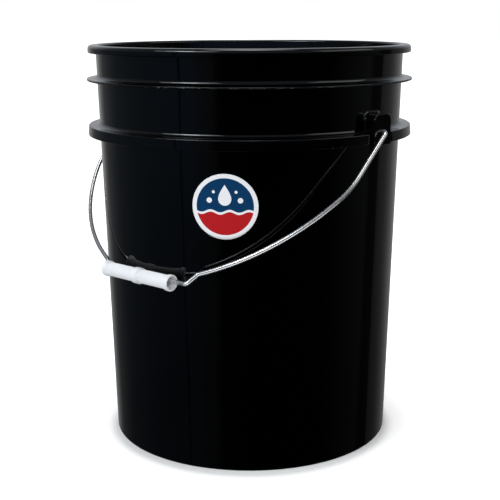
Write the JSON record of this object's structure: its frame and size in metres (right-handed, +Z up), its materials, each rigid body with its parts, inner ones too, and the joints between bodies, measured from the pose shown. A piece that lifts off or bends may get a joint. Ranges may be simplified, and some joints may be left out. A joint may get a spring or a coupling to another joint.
{
  "type": "plastic pail",
  "caption": "Tapered open pail with a rolled rim, two stiffening rings, a swinging wire bail with a ribbed grip tube, and a small round label on the wall.",
  "frame": {"origin": "centre of the base, on the floor", "axes": "+Z up along the pail's axis, +X towards one ear and -X towards the other, and the bail hangs down on the -Y side"},
  "size_m": [0.3178, 0.3052, 0.368],
  "materials": {
    "pail_plastic": "smooth moulded black plastic with a soft shine",
    "bail_wire": "drawn and zinc-coated steel wire",
    "grip_plastic": "white moulded plastic with fine lengthwise ribs",
    "label_film": "printed vinyl film with a white border"
  },
  "bodies": {
    "pail": {"pail": "pail_plastic", "label": "label_film"},
    "bail": {"bail": "bail_wire"},
    "grip": {"grip": "grip_plastic"}
  },
  "joints": [
    {"name": "bail_pivot", "type": "hinge", "parent": "pail", "child": "bail", "pos_m": [0, 0, 0.2955], "axis": [-1, 0, 0], "range_deg": [0, 261.7]},
    {"name": "grip_spin", "type": "hinge", "parent": "bail", "child": "grip", "pos_m": [-0.0023, -0.14448, 0.17057], "axis": [1, 0, 0], "continuous": true}
  ]
}
